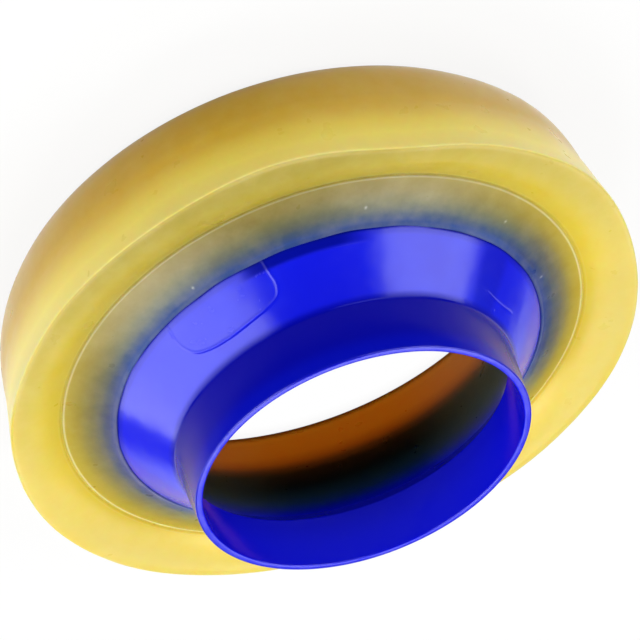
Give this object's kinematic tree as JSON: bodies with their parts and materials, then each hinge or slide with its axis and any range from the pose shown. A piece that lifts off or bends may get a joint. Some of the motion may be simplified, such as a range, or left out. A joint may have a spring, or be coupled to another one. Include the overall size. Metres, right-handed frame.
{
  "type": "toilet pan seal",
  "caption": "Round soft wax ring cast round the flange of a plastic horn, sealing a toilet outlet to a floor drain pipe.",
  "frame": {"origin": "centre of the flat land of the wax ring that meets the toilet pan", "axes": "+Z along the axis, from the pan side of the wax to the open rim of the horn; the camera side of the picture is -Y"},
  "size_m": [0.1408, 0.141, 0.0544],
  "materials": {
    "wax": "soft amber wax, translucent where it is thin, with a faint satin sheen",
    "horn_plastic": "glossy moulded polyethylene, royal blue"
  },
  "bodies": {
    "root": {"wax_ring": "wax", "horn": "horn_plastic"}
  },
  "joints": []
}
